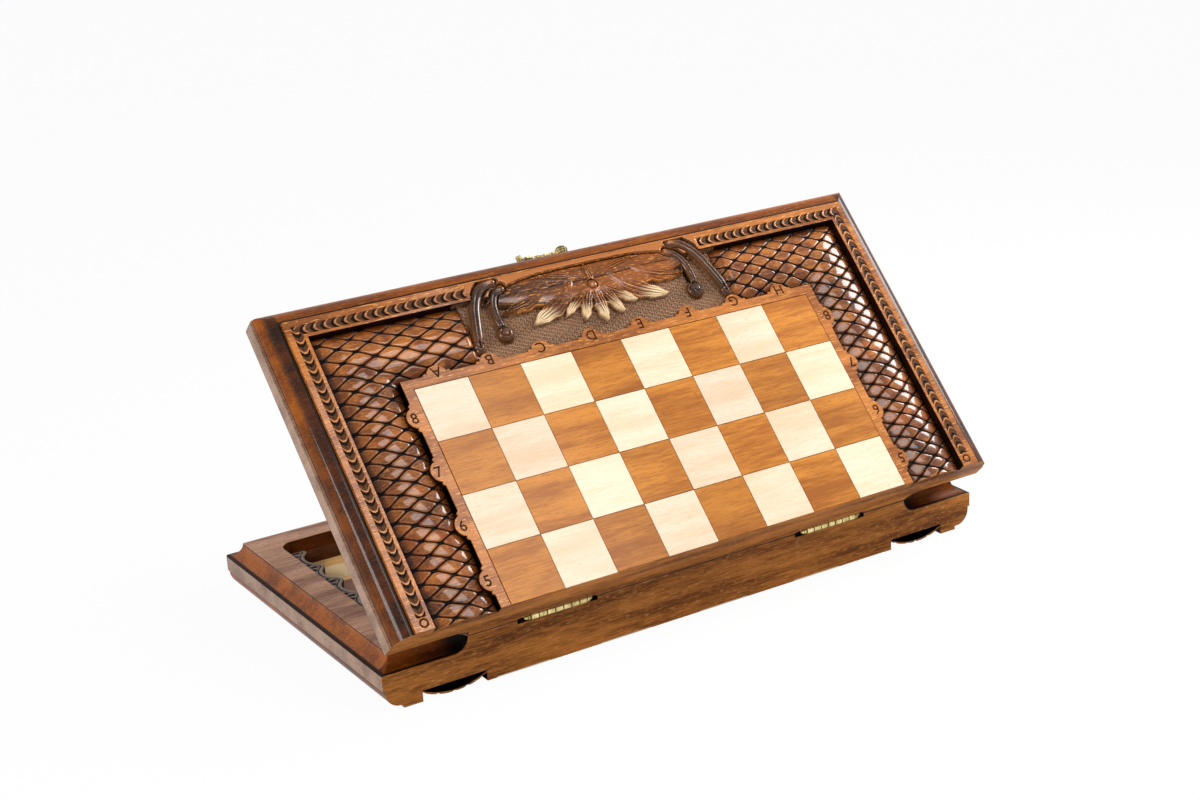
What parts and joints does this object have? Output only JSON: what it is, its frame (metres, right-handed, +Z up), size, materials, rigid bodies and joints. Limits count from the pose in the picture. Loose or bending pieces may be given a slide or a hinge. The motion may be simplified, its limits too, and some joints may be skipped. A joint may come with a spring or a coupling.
{
  "type": "folding chess board",
  "caption": "Carved wooden chess board in two hinged halves that close with a brass latch and open to a backgammon tray.",
  "frame": {"origin": "middle of the lower half's outer face, on the surface that the board lies on", "axes": "+X along the hinges, +Y from the hinge side to the latch side, +Z up"},
  "size_m": [0.5, 0.2822, 0.2324],
  "materials": {
    "case_wood": "varnished walnut brown, carved on the outside",
    "light_veneer": "glossy pale maple",
    "dark_veneer": "glossy brown walnut",
    "floor_veneer": "glossy honey maple",
    "light_point_wood": "satin mid brown",
    "dark_point_wood": "satin dark brown",
    "rail_wood": "satin grey brown, carved",
    "brass": "polished, a little aged"
  },
  "bodies": {
    "lower_half": {"lower_case": "case_wood", "lower_light_squares": "light_veneer", "lower_dark_squares": "dark_veneer", "lower_tray_veneer": "floor_veneer", "lower_light_points": "light_point_wood", "lower_dark_points": "dark_point_wood", "lower_left_rail": "rail_wood", "lower_right_rail": "rail_wood", "lower_hinge_screws": "brass", "left_hinge_lower_leaf": "brass", "right_hinge_lower_leaf": "brass", "left_hinge_pin": "brass", "right_hinge_pin": "brass", "catch_plate": "brass", "catch_plate_screws": "brass", "catch_stud": "brass"},
    "upper_half": {"upper_case": "case_wood", "upper_light_squares": "light_veneer", "upper_dark_squares": "dark_veneer", "upper_tray_veneer": "floor_veneer", "upper_light_points": "light_point_wood", "upper_dark_points": "dark_point_wood", "upper_left_rail": "rail_wood", "upper_right_rail": "rail_wood", "upper_hinge_screws": "brass", "left_hinge_upper_leaf": "brass", "right_hinge_upper_leaf": "brass", "latch_plate": "brass", "latch_plate_screws": "brass", "latch_washer": "brass", "latch_rivet": "brass"},
    "latch_hook": {"latch_hook": "brass"}
  },
  "joints": [
    {"name": "lid_hinge", "type": "hinge", "parent": "lower_half", "child": "upper_half", "pos_m": [0, -0.125, 0.037], "axis": [1, 0, 0], "range_deg": [-45, 135]},
    {"name": "hook_swing", "type": "hinge", "parent": "upper_half", "child": "latch_hook", "pos_m": [0.001, 0.04372, 0.22693], "axis": [0, -0.7071, -0.7071], "range_deg": [-15, 90]}
  ]
}
